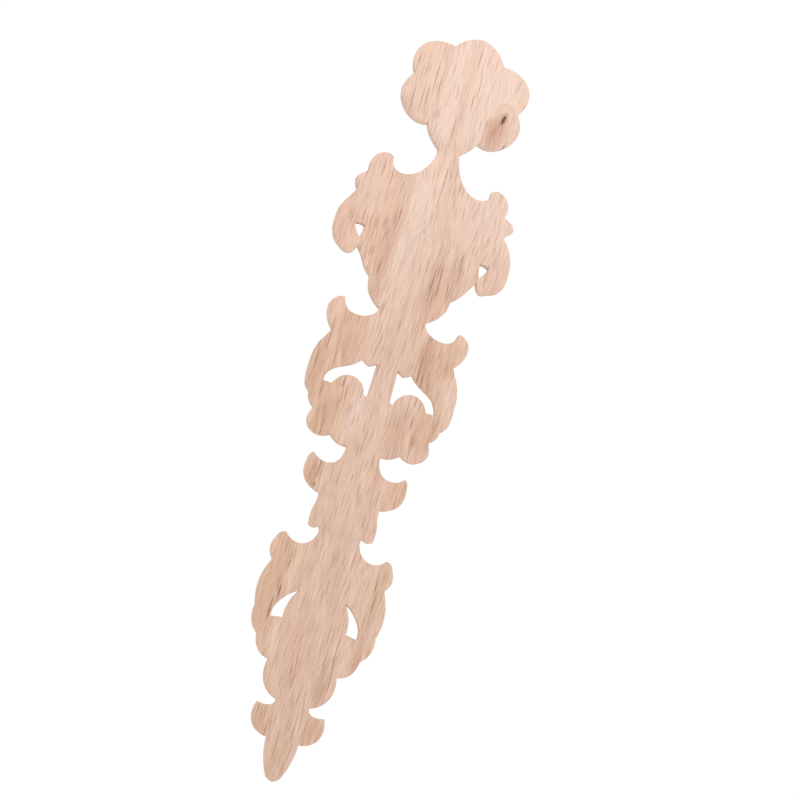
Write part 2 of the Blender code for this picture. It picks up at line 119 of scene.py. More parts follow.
# pierced openings in the right half, each a ring of smooth runs
OPENINGS = (
    # inside the curl of the big leaf
    (((47.9, 120.9), (52, 121.5), (56.2, 120)),
     ((56.2, 120), (53.5, 115), (49.9, 110.2)),
     ((49.9, 110.2), (48.3, 115.4), (47.9, 120.9))),
    # over the curl of the scroll
    (((8.2, 19.5), (13.9, 16.3)),
     ((13.9, 16.3), (17, 17.7), (20, 19.8)),
     ((20, 19.8), (24.6, 15.4), (30, 11.9), (35.8, 9), (41, 5.2), (44.3, 0.4), (45.4, -4.8)),
     ((45.4, -4.8), (38, -5)),
     ((38, -5), (35, 0.3), (30.4, 3.9), (25, 5), (19.4, 3.7), (14.9, 0), (12.8, -5)),
     ((12.8, -5), (11, -6.8), (8.8, -5.6)),
     ((8.8, -5.6), (8.2, 19.5))),
    # between the lower leaf and its outer lobes
    (((18, -161.3), (24.2, -165.2), (29.4, -170.7), (33.1, -176.8), (34, -184.4)),
     ((34, -184.4), (24.4, -183)),
     ((24.4, -183), (24, -175), (21.9, -167.6), (18, -161.3))),
)

LOBE_FALL = 2.2          # how steeply a lobe falls away past its edge
HOLLOW_SHARE = 0.68      # share of its width that the hollow takes up

# hollowed lobes of the right half: middle line from root to tip, half width, height at the root and
# at the tip, and the place of the widest part along it
LOBES = (
    # big leaf
    (((6, 188), (20, 166), (38, 162), (52, 168), (53, 178), (44, 182)), 8.5, 9.0, 12.8, 0.7),
    (((8, 176), (26, 156), (46, 152), (66, 154)), 8.0, 9.5, 13.2, 0.62),
    (((8, 164), (24, 144), (46, 136), (61, 127), (64, 111), (52, 101)), 10.5, 10.0, 14.0, 0.72),
    (((8, 150), (22, 130), (36, 120), (44, 112), (47, 100)), 9.0, 10.0, 12.4, 0.6),
    (((8, 130), (18, 110), (28, 96), (36, 84)), 9.0, 10.5, 12.6, 0.6),
    (((6, 104), (13, 90), (20, 76), (26, 63)), 9.5, 10.5, 13.0, 0.6),
    # hook of the scroll and the leaflets under its curl
    (((6, 56), (20, 44), (36, 40), (51, 44), (55, 54), (48, 63)), 8.5, 8.5, 12.6, 0.72),
    (((34, -12), (46, -19), (54, -23)), 6.0, 8.5, 11.0, 0.6),
    (((28, -18), (36, -30), (42, -45)), 8.5, 8.5, 11.8, 0.6),
    (((14, -20), (18, -34), (20, -50)), 7.0, 8.5, 11.8, 0.6),
    # husk
    (((4, -52), (14, -69), (27, -76), (38, -71), (38, -59)), 8.0, 9.0, 12.6, 0.72),
    (((6, -70), (14, -88), (20, -101), (22, -114)), 7.6, 9.5, 12.6, 0.6),
    # lower leaf
    (((5, -116), (16, -132), (32, -140), (44, -135), (42, -122)), 8.0, 9.0, 12.6, 0.72),
    (((8, -130), (24, -147), (38, -158), (43, -170), (43, -183)), 8.5, 9.5, 12.8, 0.7),
    (((36, -172), (38.5, -184), (42, -194), (43, -202)), 6.5, 9.0, 12.0, 0.6),
    (((10, -166), (20, -186), (28, -200), (33, -215)), 9.0, 9.5, 12.6, 0.6),
    (((6, -190), (13, -210), (18, -224), (20, -240)), 9.0, 10.0, 12.6, 0.6),
    # end husk
    (((3, -240), (11, -255), (21, -260), (27, -253), (24, -245)), 7.0, 9.0, 12.2, 0.72),
)

VEIN_DEPTH = 1.2
MIDRIB = (1.2, 2.1)      # height and half width
GROOVE = (0.9, 4.2, 1.2)     # beside the midrib: depth, distance from the centre line, half width
BAND_FALL = 2.4          # how steeply a centre leaf or the scroll's band falls away past its edge

# leaves on the centre line: top, bottom, half width, share of it at the root, height, number of veins
CENTRE_LEAVES = (
    (62, -47, 8.6, 0.9, 11.3, 9),
    (-43, -112.5, 11.0, 0.6, 12.2, 7),
    (-109, -240, 14.0, 0.5, 12.4, 11),
    (-238, -300, 9.0, 0.7, 10.9, 6),
    (197, 50, 15.0, 0.42, 12.4, 13),
)

# round eyes inside the curled hooks: height at the foot and at the top, then each one's centre and radius
EYE_HEIGHTS = (10.0, 16.2)
EYES = (
    ((47.6, 174.8), 4.6),
    ((50.6, 54.6), 4.3),
    ((33.8, -67.0), 4.1),
    ((40.0, -130.4), 4.2),
    ((21.4, -252.6), 3.2),
)

# the scroll's band: down the outer sweep, then wound round the eye from the outer to the inner radius
SCROLL_SWEEP = ((10, 46), (26, 33), (42, 25), (51.5, 11), (51.5, -6), (43.5, -19.5))
SWEEP_STEP = 2.5         # distance between the points on it
SCROLL_SPAN = (-42, 62)      # the band lies between these heights
SCROLL_EYE = (25.0, -9.3)
SCROLL_EYE_SHAPE = (4.2, 12.0, 18.0)     # radius, height at the foot, height at the top
WINDING_RADII = (18.6, 5.2)
WINDING_START = -52      # bearing where the sweep ends, in degrees
WINDING_TURN = -400      # how far the band turns from there
WINDING_STEPS = 28

# the flower's petals: bearing of the middle and half the angle that it takes up, in degrees, and reach
PETALS = ((90, 32, 49), (30.5, 28.5, 53), (-28, 31, 54), (-90, 32, 48), (149.5, 28.5, 53), (208, 31, 54))
SMALL_PETALS = 6
SMALL_PETAL_LINE = (4, 14, 27)   # distances of a small petal's middle line from the centre

# the seed head: each bead's radius, height at the foot and height at the top
SEED_BOSS = (10.5, 13.0, 18.0)
MIDDLE_SEED = (3.4, 17.0, 20.0)
OUTER_SEED = (2.3, 15.8, 18.3)
OUTER_SEEDS = 8
SEED_RING = 6.8          # radius of the ring of outer seeds


def smooth_run(points, step):
    """Points about a step apart on the smooth curve through the given ones."""
    knots = [np.array(point, float) for point in points]
    if len(knots) == 2:
        count = max(1, round(math.dist(*points) / step))
        return [tuple(knots[0] + (knots[1] - knots[0]) * i / count) for i in range(count + 1)]
    tangents = [None] * len(knots)
    for i in range(1, len(knots) - 1):
        before, after = knots[i] - knots[i - 1], knots[i + 1] - knots[i]
        short, long = np.linalg.norm(before), np.linalg.norm(after)
        tangent = before / short * long + after / long * short
        tangents[i] = tangent / np.linalg.norm(tangent)
    for end, inner in ((0, 1), (len(knots) - 1, len(knots) - 2)):
        chord = knots[inner] - knots[end]
        chord /= np.linalg.norm(chord)
        tangents[end] = 2 * np.dot(tangents[inner], chord) * chord - tangents[inner]
    curve = []
    for i in range(len(knots) - 1):
        span = np.linalg.norm(knots[i + 1] - knots[i])
        count = max(1, round(float(span) / step))
        for j in range(count):
            s = j / count
            point = ((2 * s**3 - 3 * s**2 + 1) * knots[i] + (s**3 - 2 * s**2 + s) * span * tangents[i]
                     + (3 * s**2 - 2 * s**3) * knots[i + 1] + (s**3 - s**2) * span * tangents[i + 1])
            curve.append(tuple(point))
    return curve + [tuple(knots[-1])]


def turned(x, z, angle):
    """Turns a place about the middle of the flower, fading out down the neck."""
    fade = np.clip((z - NECK_FOOT) / NECK_FADE, 0.0, 1.0)
    a = np.radians(angle) * fade
    dx, dz = x - FLOWER[0], z - FLOWER[1]
    return FLOWER[0] + dx * np.cos(a) - dz * np.sin(a), FLOWER[1] + dx * np.sin(a) + dz * np.cos(a)


def bowed(z):
    """How far the board's centre line lies to the side."""
    return BOW * (BOW_MIDDLE - (z / HALF_LENGTH)**2)


def half_outline(changes, step):
    """One half of the sawn outline, with some of its runs changed."""
    half = smooth_run(EDGE_RUNS[0], step)
    for i, run in enumerate(EDGE_RUNS[1:], 1):
        half += smooth_run((half[-1],) + changes.get(i, run), step)[1:]
    return half


def edge_loops(step):
    """The sawn outline and the pierced openings as closed rings of (x, z)."""
    left_side = half_outline(LEFT_SIDE_RUNS, step)
    ring = half_outline({}, step) + [(-x, z) for x, z in reversed(left_side[1:-1])]
    rings = [[tuple(float(v) for v in turned(x, z, FLOWER_TURN)) for x, z in ring]]
    for opening in OPENINGS:
        ring = [point for run in opening for point in smooth_run(run, step)[:-1]]
        rings += [ring, [(-x, z) for x, z in ring]]
    return [[(x + bowed(z), z) for x, z in ring] for ring in rings]


def inside(ring, x, z):
    """True where a place is within the ring, by counting crossings."""
    crossings = np.zeros(x.shape, int)
    for (x0, z0), (x1, z1) in zip(ring, ring[1:] + ring[:1]):
        if z0 == z1:
            continue
        across = (z0 > z) != (z1 > z)
        crossings += across & (x < x0 + (z - z0) / (z1 - z0) * (x1 - x0))
    return crossings % 2 == 1


def along(x, z, line):
    """For each place, the share of the line's length at its nearest point and its distance."""
    line = np.array(line)
    start, run = line[:-1], np.diff(line, axis=0)
    length = np.hypot(run[:, 0], run[:, 1])
    before = np.concatenate([[0.0], np.cumsum(length)])
    best = np.full(x.shape, 1e9)
    share = np.zeros(x.shape)
    for i in range(len(run)):
        k = np.clip(((x - start[i, 0]) * run[i, 0] + (z - start[i, 1]) * run[i, 1]) / length[i]**2, 0, 1)
        gap = np.hypot(x - start[i, 0] - k * run[i, 0], z - start[i, 1] - k * run[i, 1])
        share = np.where(gap < best, (before[i] + k * length[i]) / before[-1], share)
        best = np.minimum(gap, best)
    return share, best


def rise(value, low, high):
    """Goes softly from 0 to 1 while the value goes from low to high."""
    k = np.clip((value - low) / (high - low), 0, 1)
    return k * k * (3 - 2 * k)


def leaf_width(share, half_width, root, widest):
    """Half width along a leaf: it swells from the root to its widest part and ends round."""
    swell = half_width * (root + (1 - root) * np.sin(np.clip(share / widest, 0, 1) * math.pi / 2))
    tip = half_width * np.sqrt(1 - np.clip((share - widest) / (1 - widest), 0, 0.999)**2)
    return np.maximum(np.where(share < widest, swell, tip), 0.5)


def lobe(x, z, line, half_width, low, high, widest, root=0.45, crown=3.3, hollow=2.8):
    """A lobe hollowed like a spoon between two raised edges."""
    share, gap = along(x, z, line)
    width = leaf_width(share, half_width, root, widest)
    across = gap / width
    level = low + (high - low) * np.sin(share * math.pi / 2)
    fullness = np.minimum(1, width / (0.55 * half_width))
    height = level + crown * fullness * (1 - across**2.4)
    dish = np.clip(1 - (across / HOLLOW_SHARE)**2, 0, 1)**1.5
    height -= hollow * fullness**2 * rise(share, 0.06, 0.4) * dish
    return np.where(across > 1, level - LOBE_FALL * (gap - width), height)


def centre_leaf(x, z, top, bottom, half_width, root, level, veins):
    """A leaf down the centre line with a midrib and slanted veins."""
    share = np.clip((top - z) / (top - bottom), 0, 1)
    beyond = np.maximum(np.maximum(z - top, bottom - z), 0)
    gap = np.hypot(x, beyond)
    width = leaf_width(share, half_width, root, 0.55)
    across = gap / width
    height = level + 1.2 * np.sin(share * math.pi) + 3.6 * (1 - across**2.2)
    slant = share * veins - 0.9 * veins * np.abs(x) / (top - bottom)
    height -= VEIN_DEPTH * (0.5 - 0.5 * np.cos(2 * math.pi * slant)) * rise(across, 0.25, 0.5)
    groove_depth, groove_place, groove_width = GROOVE
    groove = groove_depth * np.exp(-((np.abs(x) - groove_place) / groove_width)**2)
    height += MIDRIB[0] * np.exp(-(x / MIDRIB[1])**2) - groove
    return np.where(across > 1, level - BAND_FALL * (gap - width), height)


def bead(x, z, centre, radius, low, high):
    """A round boss, from low at its foot to high at its top."""
    gap = np.hypot(x - centre[0], z - centre[1]) / radius
    return np.where(gap < 1, low + (high - low) * np.sqrt(np.clip(1 - gap**2, 0, 1)), 0.0)


def scroll_line():
    """Middle of the scroll's band: down the outer sweep, under the curl and round it to the eye."""
    line = smooth_run(SCROLL_SWEEP, SWEEP_STEP)
    outer, inner = WINDING_RADII
    for i in range(WINDING_STEPS + 1):
        turn = i / WINDING_STEPS
        radius = outer * (inner / outer)**turn
        angle = math.radians(WINDING_START + WINDING_TURN * turn)
        line.append((SCROLL_EYE[0] + radius * math.cos(angle), SCROLL_EYE[1] + radius * math.sin(angle)))
    return line


def scroll(x, z):
    """The scroll's band: a groove between two ridges, narrowing into the curl, and its eye."""
    share, gap = along(x, z, scroll_line())
    width = 3.6 + 4.8 * np.sin(np.clip(share / 0.36, 0, 1) * math.pi / 2) - 5.6 * rise(share, 0.36, 1.0)
    across = gap / width
    level = 10.0 + 4.2 * rise(share, 0.0, 0.7)
    height = level + 2.6 * (1 - across**4) - 1.8 * np.clip(1 - (across / 0.6)**2, 0, 1)**1.5
    band = np.where(across > 1, level - BAND_FALL * (gap - width), height)
    return np.maximum(band, bead(x, z, SCROLL_EYE, *SCROLL_EYE_SHAPE))


def flower(x, z):
    """Six cupped petals, six small ones over them and a seed head of beads."""
    x, z = turned(x, z, -FLOWER_TURN)
    dx, dz = x - FLOWER[0], z - FLOWER[1]
    radius = np.hypot(dx, dz)
    bearing = np.degrees(np.arctan2(dz, dx))
    height = np.zeros(x.shape)
    for middle, spread, reach in PETALS:
        off = (bearing - middle + 180) % 360 - 180
        share = np.clip(np.abs(off) / spread, 0, 1)
        out = radius / reach
        petal = 9.5 + 3.2 * rise(out, 0.45, 0.86) - 1.6 * rise(out, 0.9, 1.0) + 1.6 * (1 - share**2)
        petal -= 3.4 * np.exp(-((1 - share) * radius * math.radians(spread) / 2.0)**2)
        flute = 0.5 + 0.5 * np.cos(off / spread * 3 * math.pi)
        petal -= 0.8 * flute * rise(out, 0.3, 0.5) * (1 - rise(out, 0.86, 0.97))
        height = np.where(np.abs(off) <= spread, np.maximum(height, petal), height)
    for i in range(SMALL_PETALS):
        angle = math.radians(360 / SMALL_PETALS * i)
        middle = [(FLOWER[0] + r * math.cos(angle), FLOWER[1] + r * math.sin(angle))
                  for r in SMALL_PETAL_LINE]
        petal = lobe(x, z, middle, half_width=9.0, low=13.2, high=14.4, widest=0.5, root=0.6, crown=2.2,
                     hollow=1.8)
        height = np.maximum(height, petal)
    height = np.maximum(height, bead(x, z, FLOWER, *SEED_BOSS))
    height = np.maximum(height, bead(x, z, FLOWER, *MIDDLE_SEED))
    for i in range(OUTER_SEEDS):
        angle = math.radians(360 / OUTER_SEEDS * (i + 0.5))
        seed = (FLOWER[0] + SEED_RING * math.cos(angle), FLOWER[1] + SEED_RING * math.sin(angle))
        height = np.maximum(height, bead(x, z, seed, *OUTER_SEED))
    return height


def laid_over(under, over):
    """One form over another, with a short soft step where they meet."""
    k = np.clip(0.5 + 0.5 * (over - under) / SOFTNESS, 0, 1)
    return under * (1 - k) + over * k + SOFTNESS * k * (1 - k)


def front_height(x, z, to_edge):
    """Thickness of the board at each place, in mm, given its distance to the nearest sawn edge."""
    x = x - bowed(z)
    side = np.abs(x)
    height = RIM + (GROUND - RIM) * (1 - np.exp(-to_edge / GROUND_RISE))
    for line, half_width, low, high, widest in LOBES:
        curve = smooth_run(line, LINE_STEP)
        reach = half_width + 3
        near = ((side > min(p[0] for p in curve) - reach) & (side < max(p[0] for p in curve) + reach)
                & (z > min(p[1] for p in curve) - reach) & (z < max(p[1] for p in curve) + reach))
        leaf = lobe(side[near], z[near], curve, half_width, low, high, widest)
        height[near] = laid_over(height[near], leaf)
    near = (z < SCROLL_SPAN[1]) & (z > SCROLL_SPAN[0])
    height[near] = laid_over(height[near], scroll(side[near], z[near]))
    for centre, radius in EYES:
        height = laid_over(height, bead(side, z, centre, radius, *EYE_HEIGHTS))
    near = z > FLOWER_FOOT
    height[near] = laid_over(height[near], flower(x[near], z[near]))
    for top, bottom, half_width, root, level, veins in CENTRE_LEAVES:
        near = (side < half_width + 5) & (z < top + 5) & (z > bottom - 5)
        leaf = centre_leaf(x[near], z[near], top, bottom, half_width, root, level, veins)
        height[near] = laid_over(height[near], leaf)
    # the sawn edges are rounded over to the rim
    edge = RIM + np.sqrt(2 * EDGE_ROUND * to_edge)
    k = np.clip(0.5 + 0.5 * (edge - height) / EDGE_BLEND, 0, 1)
    return edge * (1 - k) + height * k - EDGE_BLEND * k * (1 - k)


def grid_places(rings, edge_tree):
    """A row of places just inside the edges, then a triangular grid over the rest of the board."""
    candidates = []
    for ring in rings:
        loop = np.array(ring)
        run = np.roll(loop, -1, axis=0) - np.roll(loop, 1, axis=0)
        run /= np.maximum(np.linalg.norm(run, axis=1), 1e-9)[:, None]
        for side in (FIRST_ROW, -FIRST_ROW):
            candidates += [tuple(p) for p in loop + side * np.stack([-run[:, 1], run[:, 0]], axis=1)]
    row_gap = SPACING * math.sqrt(3) / 2
    for row in range(int(2 * HALF_LENGTH / row_gap)):
        shift = (row % 2) * SPACING / 2
        candidates += [(x + shift, HALF_LENGTH - row * row_gap)
                       for x in np.arange(-HALF_SHEET, HALF_SHEET, SPACING)]
    xs, zs = np.array(candidates).T
    within = inside(rings[0], xs, zs)
    for ring in rings[1:]:
        within &= ~inside(ring, xs, zs)
    taken = {}
    places = []
    for x, z, usable in zip(xs.tolist(), zs.tolist(), within.tolist()):
        if not usable or edge_tree.find((x, z, 0))[2] < 0.8 * FIRST_ROW:
            continue
        cell = (round(x / SPACING), round(z / SPACING))
        cells = [(cell[0] + i, cell[1] + j) for i in (-1, 0, 1) for j in (-1, 0, 1)]
        close = [q for c in cells for q in taken.get(c, ())]
        if all(math.hypot(x - q[0], z - q[1]) > SPACING * 0.7 for q in close):
            taken.setdefault(cell, []).append((x, z))
            places.append((x, z))
    return places


def carved_piece(name):
    """The carved board: the front filled in from the outline, its edges drawn out to the flat back."""
    rings = edge_loops(SPACING)
    dense = [point for ring in edge_loops(EDGE_STEP) for point in ring]
    edge_tree = kdtree.KDTree(len(dense))
    for i, (x, z) in enumerate(dense):
        edge_tree.insert((x, z, 0), i)
    edge_tree.balance()
    points = [Vector(p) for ring in rings for p in ring]
    edges = []
    for ring in rings:
        first = len(edges)
        edges += [(first + i, first + (i + 1) % len(ring)) for i in range(len(ring))]
    rim = len(points)
    points += [Vector(p) for p in grid_places(rings, edge_tree)]
    flat, _, triangles, origins, _, _ = delaunay_2d_cdt(points, edges, [], 1, 1e-5)
    flat = np.array([tuple(v) for v in flat])
    triangles = np.array(triangles)
    middle = flat[triangles].mean(axis=1)
    kept = inside(rings[0], middle[:, 0], middle[:, 1])
    for ring in rings[1:]:
        kept &= ~inside(ring, middle[:, 0], middle[:, 1])
    to_edge = np.array([0.0 if min(came) < rim else edge_tree.find((x, z, 0))[2]
                        for (x, z), came in zip(flat, origins)])
    height = front_height(flat[:, 0], flat[:, 1], to_edge)
    mesh = bpy.data.meshes.new(name)
    mesh.from_pydata([(x * MM, -h * MM, z * MM) for (x, z), h in zip(flat, height)], [],
                     triangles[kept].tolist())
    work = bmesh.new()
    work.from_mesh(mesh)
    bmesh.ops.delete(work, geom=[v for v in work.verts if not v.link_faces], context="VERTS")
    rim_edges = [edge for edge in work.edges if edge.is_boundary]
    pulled = bmesh.ops.extrude_edge_only(work, edges=rim_edges)["geom"]
    for item in pulled:
        if isinstance(item, bmesh.types.BMVert):
            item.co.y = 0.0
    back = [item for item in pulled if isinstance(item, bmesh.types.BMEdge) and item.is_boundary]
    bmesh.ops.triangle_fill(work, use_beauty=True, edges=back, normal=(0, 1, 0))
    bmesh.ops.recalc_face_normals(work, faces=work.faces)
    bmesh.ops.bevel(work, geom=back, affect="EDGES", offset=BROKEN_EDGE * MM, segments=2, profile=0.5,
                    material=-1)
    work.to_mesh(mesh)
    work.free()
    mesh.shade_smooth()
    mesh.set_sharp_from_angle(angle=math.radians(SHARP_ANGLE))
    return bpy.data.objects.new(name, mesh)


applique = carved_piece("carved_drop")
bpy.context.scene.collection.objects.link(applique)

# Its wood: pinkish beige rubberwood, sanded and left raw. The board is glued up from staves about 48 mm
# wide that are finger-jointed end to end, so tone and grain change from stave to stave. Sizes are in mm.
STAVE_EDGE = 21.3        # first glue line, right of the centre line seen from the front
STAVE_WIDTH = 48.0
GLUE_WIDTH = 0.15        # half width of the step from one stave to the next
GLUE_LINE = 0.35         # half width of the thin dark line between them
GRAIN_LEAN = 0.0075      # the staves run a little out of line with the drop
UPPER_SLANT = 0.07       # the upper middle stave was sawn across its grain a little
STAVE_APART = (37.0, 61.0)   # how far each stave's grain is moved from its neighbour's, through and along
FINGER_TIP = -4.0        # one tip of the finger joint in the middle stave
FINGER_PITCH = 14.5
FINGER_LENGTH = 12.0
FINGER_HEIGHT = 120.0
FRONT = (-5.5, -7.0)     # the carved front begins between these depths

# the wood's colours
PALE = (0.905, 0.685, 0.572, 1.0)
ROSE = (0.875, 0.610, 0.485, 1.0)
TAN = (0.730, 0.480, 0.340, 1.0)
FIBRE = (0.590, 0.370, 0.265, 1.0)
BROWN = (0.560, 0.310, 0.205, 1.0)
PORE = (0.355, 0.180, 0.115, 1.0)
DEEP_PORE = (0.270, 0.120, 0.075, 1.0)
HEARTWOOD = (0.130, 0.042, 0.028, 1.0)
FIRST_STAVE = (0.850, 0.535, 0.385, 1.0)
END_GRAIN = (0.810, 0.665, 0.535, 1.0)
# a bleached tone for some patches, also used as the colour of the painted light over the top of the board
BLEACHED_AND_PAINTED_LIGHT = (0.925, 0.722, 0.645, 1.0)

# tones that change over the board, each with how many more or fewer dark pores it has
TONES = {
    "pale": (PALE, -0.25),
    "bleached": (BLEACHED_AND_PAINTED_LIGHT, -0.70),
    "sandy": ((0.905, 0.690, 0.520, 1.0), -0.15),
    "greyish": ((0.810, 0.580, 0.470, 1.0), -0.30),
    "rosy": ((0.800, 0.490, 0.385, 1.0), 0.10),
    "orange": ((0.830, 0.515, 0.340, 1.0), 0.10),
    "tan": ((0.750, 0.485, 0.330, 1.0), 0.35),
    "brown": ((0.640, 0.370, 0.250, 1.0), 0.65),
}

# streaky patterns: how wide and how long the streaks are drawn, and how much fine detail they have
GRAIN = {
    "wander": (60.0, 160.0, 2.0),
    "cloud": (22.0, 90.0, 2.0),
    "bands": (9.0, 240.0, 2.0),
    "narrow bands": (2.4, 110.0, 2.0),
    "fibres": (0.70, 13.0, 3.0),
    "pore crowds": (6.0, 80.0, 2.0),
    "streak breaks": (0.9, 9.0, 2.0),
    "knot grain": (1.3, 30.0, 2.0),
    "patch sides": (1.7, 46.0, 2.0),
    "patch ends": (2.2, 60.0, 3.0),
}

# open pores: width and length of the places that they stand in, and how much of one a pore fills
PORES = {"coarse": (1.8, 46.0, 0.21), "fine": (1.0, 26.0, 0.36)}

# a small dark knot in a lower petal, and its marks: lean, middle across and up from the knot, half width
# and half length
KNOT = (-35.2, 240.5)
KNOT_MARKS = {
    "fan": (0.22, 1.5, -12.0, 11.0, 22.0),
    "trail": (0.36, 0.5, -9.0, 3.2, 15.0),
    "heart": (0.16, 0.6, 0.0, 1.3, 4.8),
    "rust": (0.16, 0.7, 0.5, 3.6, 8.5),
    "ring": (0.0, 0.5, 2.0, 10.0, 14.5),
}
BEND = (13.0, 26.0)      # half width and half length of the place where the grain bends round it
BEND_PUSH = -3.0         # how far the grain is pushed aside there

PATCH_SPREAD = 1.2       # the patches are drawn this much larger, because their edges are ragged
PATCH_STRENGTH = 1.5     # and this much stronger

# patches where the colour changes: place across and up, half width, half length, tone, amount
PATCHES = (
    # flower
    (0.5, 250, 4.5, 62, "tan", 0.60), (40, 268, 9, 22, "tan", 0.40), (21.5, 258, 3.4, 34, "rosy", 0.75),
    (44, 232, 7, 20, "rosy", 0.45), (9, 224, 5.5, 17, "bleached", 0.60),
    (-20, 262, 15, 42, "sandy", 0.35), (30, 226, 5, 16, "tan", 0.45), (-44, 262, 7, 20, "sandy", 0.45),
    (-30, 270, 13, 16, "pale", 0.60), (44, 245, 8, 12, "rosy", 0.30), (12, 268, 6, 24, "pale", 0.50),
    (-30, 227, 9, 19, "tan", 0.60),
    # neck and big leaf
    (3.5, 190, 3.5, 22, "orange", 0.40), (-7, 182, 5, 28, "rosy", 0.50), (28, 160, 8.5, 20, "tan", 0.70),
    (-8, 152, 9, 24, "rosy", 0.45), (10, 150, 8, 26, "pale", 0.55), (-32, 150, 16, 24, "greyish", 0.35),
    (53, 141, 9, 12, "greyish", 0.60), (63, 118, 8, 24, "rosy", 0.55),
    (27.5, 110, 5.5, 44, "brown", 0.85), (38, 124, 9, 30, "tan", 0.60), (-17, 94, 7, 34, "brown", 0.60),
    (-31, 100, 8, 28, "brown", 0.50), (-26, 78, 9, 16, "orange", 0.45), (12, 92, 12, 36, "pale", 0.60),
    (-60, 118, 10, 24, "rosy", 0.35), (-4, 70, 6, 14, "greyish", 0.40),
    # scroll
    (2, 36, 17, 26, "greyish", 0.65), (-26, 33, 7, 28, "brown", 0.70), (36, 38, 11, 26, "tan", 0.75),
    (-45, 42, 6, 22, "tan", 0.55), (52.5, 8, 6, 26, "brown", 0.45), (46.5, 12, 1.6, 18, "pale", 0.35),
    (-35, 28, 7, 32, "tan", 0.60), (39, -25, 13, 25, "tan", 0.70), (15.5, -25, 7.0, 22, "bleached", 0.62),
    (-7, -20, 4, 30, "pale", 0.45), (-20, -26, 9, 24, "brown", 0.42), (-38, -20, 10, 26, "tan", 0.50),
    (-34, -33, 3, 8, "brown", 0.95), (-46, -12, 7, 22, "tan", 0.40),
    # husk
    (33, -74, 7, 15, "brown", 0.55), (24, -77, 2.8, 17, "sandy", 0.85), (-31, -74, 9, 16, "orange", 0.50),
    (-37, -70, 2.2, 9, "brown", 0.60), (-16, -72, 5, 22, "rosy", 0.40), (-5, -96, 8, 26, "greyish", 0.40),
    (9, -100, 5, 20, "rosy", 0.35),
    # lower leaf
    (38, -142, 9, 22, "tan", 0.55), (26.5, -142, 3.4, 30, "sandy", 1.00), (-3, -140, 9, 28, "tan", 0.40),
    (14, -150, 6, 30, "greyish", 0.45), (-39, -150, 5, 34, "tan", 0.50), (42, -172, 7, 30, "tan", 0.45),
    (8, -200, 12, 44, "rosy", 0.30), (17, -168, 4, 14, "pale", 0.50),
    (25.5, -198, 3.2, 27, "sandy", 0.95), (-13, -190, 6, 30, "greyish", 0.40),
    (-18, -226, 5, 15, "brown", 0.50), (-29, -200, 3, 15, "pale", 0.50), (5, -226, 2.6, 6, "brown", 0.70),
    (-37, -195, 3.5, 22, "brown", 0.45),
    # end husk and bud
    (20, -257, 9, 14, "tan", 0.70), (-20, -257, 9, 14, "tan", 0.70), (0, -250, 6, 12, "rosy", 0.45),
    (0, -280, 9, 22, "tan", 0.40),
)

# single dark streaks where the saw opened long pores: place across, top, bottom, half width, depth
STREAKS = (
    # flower
    (44.0, 274, 257, 0.55, 0.9), (41.0, 252, 211, 0.60, 0.9), (33.5, 252, 219, 0.50, 0.7),
    (30.0, 250, 221, 0.50, 0.7), (27.0, 274, 239, 0.60, 0.8), (22.0, 268, 232, 0.45, 0.6),
    (-3.0, 296, 268, 0.50, 0.7), (-6.5, 262, 232, 0.45, 0.5), (2.5, 236, 196, 0.55, 0.6),
    (-13.0, 232, 208, 0.45, 0.4),
    # neck and big leaf
    (47.0, 178, 160, 0.55, 0.7), (39.0, 172, 150, 0.45, 0.6), (51.0, 140, 118, 0.50, 0.5),
    (33.0, 136, 118, 0.55, 0.8), (-15.0, 118, 62, 0.65, 0.8), (-20.0, 112, 74, 0.60, 0.8),
    (-34.0, 120, 96, 0.60, 0.8), (-2.0, 198, 142, 0.60, 0.7), (-48.0, 132, 104, 0.50, 0.6),
    # scroll
    (-24.0, 46, 6, 0.70, 0.8), (-28.0, 30, -16, 0.65, 0.8), (42.0, 26, -8, 0.65, 0.7),
    (50.0, 44, 12, 0.65, 0.7), (55.0, 22, -6, 0.60, 0.7), (30.0, 4, -8, 0.90, 0.9),
    (38.0, -18, -42, 0.60, 0.7), (37.0, -41, -46, 0.90, 1.0),
    # husk
    (30.0, -54, -81, 0.55, 0.6), (30.0, -80, -86, 0.95, 1.0),
    # lower leaf
    (33.0, -154, -173, 1.00, 1.0), (36.0, -166, -192, 0.85, 1.0), (-36.5, -128, -152, 0.65, 0.8),
    (-38.0, -142, -167, 0.60, 0.8), (-20.5, -178, -212, 0.65, 0.8), (-22.0, -196, -232, 0.55, 0.8),
    (-12.0, -168, -206, 0.50, 0.6), (-14.0, -196, -228, 0.50, 0.6),
    # end husk and bud
    (4.0, -252, -284, 0.55, 0.6), (-6.0, -250, -276, 0.55, 0.6),
)


def new_group(name, inputs, outputs):
    """A shader node group with its sockets; returns the group, its input node and its output node."""
    group = bpy.data.node_groups.new(name, "ShaderNodeTree")
    for label, kind in inputs:
        group.interface.new_socket(label, in_out="INPUT", socket_type=kind)
    for label, kind in outputs:
        group.interface.new_socket(label, in_out="OUTPUT", socket_type=kind)
    return group, group.nodes.new("NodeGroupInput"), group.nodes.new("NodeGroupOutput")


def fill(tree, sockets, values):
    """Gives each socket its value, or links it to the socket that the value is."""
    for socket, value in zip(sockets, values):
        if isinstance(value, bpy.types.NodeSocket):
            tree.links.new(value, socket)
        else:
            socket.default_value = value


def put(tree, kind, inputs=(), **settings):
    """Adds a node, sets its options and fills its inputs with values or with other sockets."""
    node = tree.nodes.new(kind)
    for key, value in settings.items():
        setattr(node, key, value)
    inputs = dict(inputs)
    fill(tree, [node.inputs[key] for key in inputs], inputs.values())
    return node


def calc(tree, operation, first, second=0.0, third=None):
    """One Math node on values or sockets."""
    inputs = {0: first, 1: second}
    if third is not None:
        inputs[2] = third
    return put(tree, "ShaderNodeMath", inputs, operation=operation).outputs[0]


